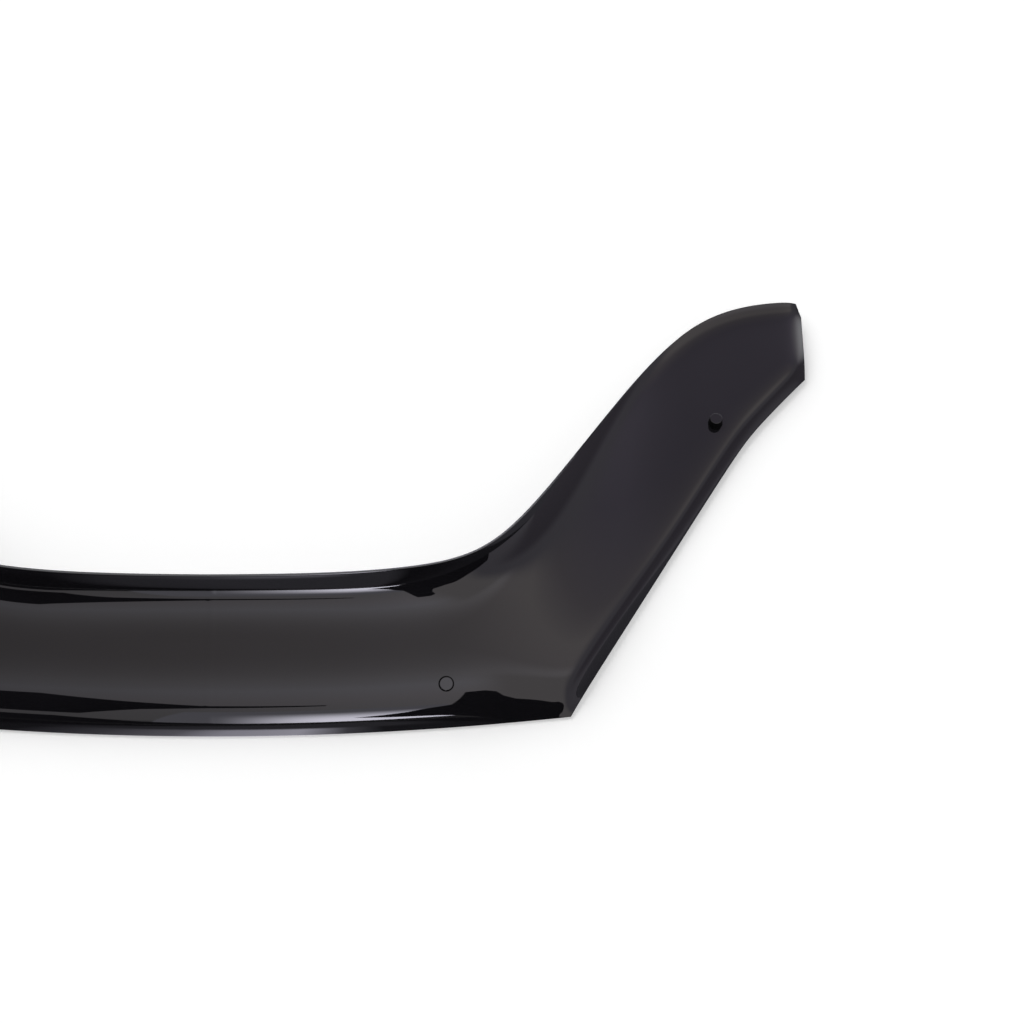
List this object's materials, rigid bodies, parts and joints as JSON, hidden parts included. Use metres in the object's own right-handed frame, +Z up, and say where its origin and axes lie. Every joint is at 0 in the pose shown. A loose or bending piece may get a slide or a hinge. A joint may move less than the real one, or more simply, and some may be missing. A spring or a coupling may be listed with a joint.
{
  "type": "bonnet deflector",
  "caption": "Bonnet deflector of glossy black formed sheet: a bowed band with a rolled front edge, a raised rear lip and swept-back arms, fixed by push-in studs.",
  "frame": {"origin": "under the middle of the part's box, on the surface that it lies on", "axes": "+X across the vehicle, +Y from the front edge to the arm tips, +Z up from the surface, out of the outer face"},
  "size_m": [1.21, 0.502, 0.0917],
  "materials": {
    "sheet": "gloss black acrylic, polished as formed",
    "stud": "gloss black moulded plastic"
  },
  "bodies": {
    "root": {"deflector_shell": "sheet", "fixing_studs": "stud"}
  },
  "joints": []
}
